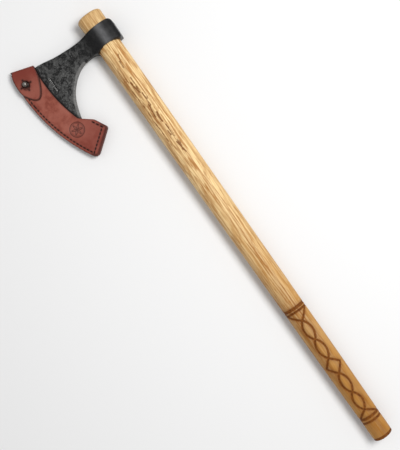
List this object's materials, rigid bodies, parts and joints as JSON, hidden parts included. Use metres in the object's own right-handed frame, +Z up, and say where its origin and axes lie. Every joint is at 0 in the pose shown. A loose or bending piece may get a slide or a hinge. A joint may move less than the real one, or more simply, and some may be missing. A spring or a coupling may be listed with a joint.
{
  "type": "bearded axe",
  "caption": "Bearded axe with a straight slip-fit haft and a leather edge sheath, whose flap folds round the toe and buttons on a ball stud.",
  "frame": {"origin": "centre of the bounding box, on the floor that the axe lies on", "axes": "+X along the haft from the butt to the head, +Y towards the cutting edge, +Z up out of the face that carries the stud; the axe rests on a cheek, the sheath's edge and the butt"},
  "size_m": [0.9156, 0.2106, 0.047],
  "materials": {
    "haft_wood": "oiled, burnt ornament",
    "forged_steel": "black forge scale, satin",
    "sheath_leather": "veg-tanned, burnished edges",
    "waxed_thread": "waxed linen",
    "stud_steel": "worn nickel"
  },
  "bodies": {
    "haft": {"haft": "haft_wood"},
    "head": {"axe_head": "forged_steel"},
    "sheath": {"sheath_front": "sheath_leather", "sheath_back": "sheath_leather", "sheath_welt": "sheath_leather", "sheath_thread": "waxed_thread", "stud": "stud_steel", "stud_screw": "stud_steel"},
    "fold": {"flap_fold": "sheath_leather"},
    "flap": {"flap_tongue": "sheath_leather"}
  },
  "joints": [
    {"name": "head_slide", "type": "slide", "parent": "haft", "child": "head", "axis": [-1, 0, -0.0056], "range_m": [0, 0.9]},
    {"name": "sheath_slide", "type": "slide", "parent": "head", "child": "sheath", "axis": [-0.9959, 0.0892, -0.0146], "range_m": [0, 0.2]},
    {"name": "flap_fold_hinge", "type": "hinge", "parent": "sheath", "child": "fold", "pos_m": [0.44946, 0.07783, 0.00426], "axis": [0.3141, 0.9448, -0.0938], "range_deg": [0, 90], "deforming": ["flap_fold"]},
    {"name": "flap_hinge", "type": "hinge", "parent": "fold", "child": "flap", "pos_m": [0.4494, 0.07893, 0.01511], "axis": [0.3141, 0.9448, -0.0938], "range_deg": [0, 90]}
  ],
  "couplings": [
    {"joint": "flap_hinge", "follows": "flap_fold_hinge", "ratio": 1}
  ]
}
